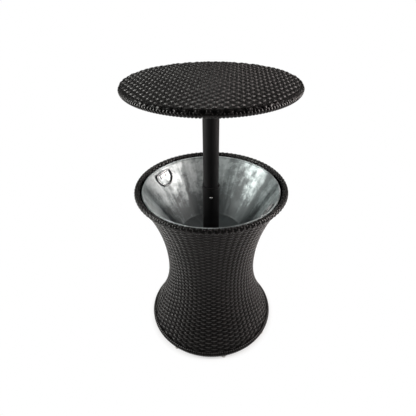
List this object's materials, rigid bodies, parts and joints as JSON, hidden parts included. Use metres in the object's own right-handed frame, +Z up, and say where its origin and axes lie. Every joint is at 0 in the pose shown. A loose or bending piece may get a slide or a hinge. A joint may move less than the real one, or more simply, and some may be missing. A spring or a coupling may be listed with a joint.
{
  "type": "cooler table with lid",
  "caption": "Round woven patio table whose top rises on a telescoping mast as the lid of a galvanised ice bucket, held in an hourglass wicker stand.",
  "frame": {"origin": "on the floor at the middle of the foot, on the mast's axis", "axes": "+Z up along the mast, -Y towards the snap button, +X to the right seen from that side"},
  "size_m": [0.4599, 0.46, 0.862],
  "materials": {
    "wicker": "flat resin strands, espresso, satin with a light grain",
    "frame_coat": "black powder coat, satin",
    "mast_coat": "black powder coat, smooth satin",
    "galvanised": "hot-dip galvanised, mottled with soft vertical streaks",
    "bail_wire": "galvanised round wire",
    "strap_steel": "galvanised sheet",
    "fastener_zinc": "zinc plated",
    "button_steel": "bright plated",
    "spring_steel": "blued spring steel",
    "black_plastic": "moulded, matte",
    "rubber": "matte"
  },
  "bodies": {
    "stand": {"foot_glides": "black_plastic", "foot_ring": "frame_coat", "rim_ring": "frame_coat", "frame_rib_1": "frame_coat", "frame_rib_2": "frame_coat", "frame_rib_3": "frame_coat", "frame_rib_4": "frame_coat", "frame_rib_5": "frame_coat", "frame_rib_6": "frame_coat", "frame_rib_7": "frame_coat", "frame_rib_8": "frame_coat", "waist_hoop": "frame_coat", "bucket_cradle": "frame_coat", "cradle_buffers": "rubber", "foot_cross": "frame_coat", "guide_bush": "black_plastic", "stand_weave": "wicker", "foot_roll": "wicker", "rim_roll": "wicker"},
    "bucket": {"bucket": "galvanised", "sleeve": "frame_coat", "floor_seal": "rubber", "flange_bolts": "fastener_zinc", "flange_nuts": "fastener_zinc", "collar_bush": "black_plastic", "bail_strap_left": "strap_steel", "bail_strap_right": "strap_steel", "strap_rivets": "strap_steel"},
    "table": {"mast_tube": "mast_coat", "mast_slider": "black_plastic", "mast_plate": "frame_coat", "plate_screws": "fastener_zinc", "table_frame": "frame_coat", "table_ring": "frame_coat", "table_weave": "wicker", "table_roll": "wicker", "button_spring": "spring_steel"},
    "button": {"snap_button": "button_steel"},
    "bail_left": {"bail_left": "bail_wire"},
    "bail_right": {"bail_right": "bail_wire"}
  },
  "joints": [
    {"name": "bucket_lift", "type": "slide", "parent": "stand", "child": "bucket", "axis": [0, 0, 1], "range_m": [0, 0.54]},
    {"name": "mast_lift", "type": "slide", "parent": "bucket", "child": "table", "axis": [0, 0, 1], "range_m": [-0.2795, 0], "deforming": ["snap_button"]},
    {"name": "button_press", "type": "slide", "parent": "table", "child": "button", "axis": [0, 1, 0], "range_m": [0, 0.0052], "stiffness_N_per_m": 800, "springref_m": -0.004, "deforming": ["button_spring"]},
    {"name": "bail_left_swing", "type": "hinge", "parent": "bucket", "child": "bail_left", "pos_m": [-0.15985, 0.10782, 0.54], "axis": [-0.5592, -0.829, 0], "range_deg": [0, 150]},
    {"name": "bail_right_swing", "type": "hinge", "parent": "bucket", "child": "bail_right", "pos_m": [0.15985, -0.10782, 0.54], "axis": [0.5592, 0.829, 0], "range_deg": [0, 150]}
  ]
}
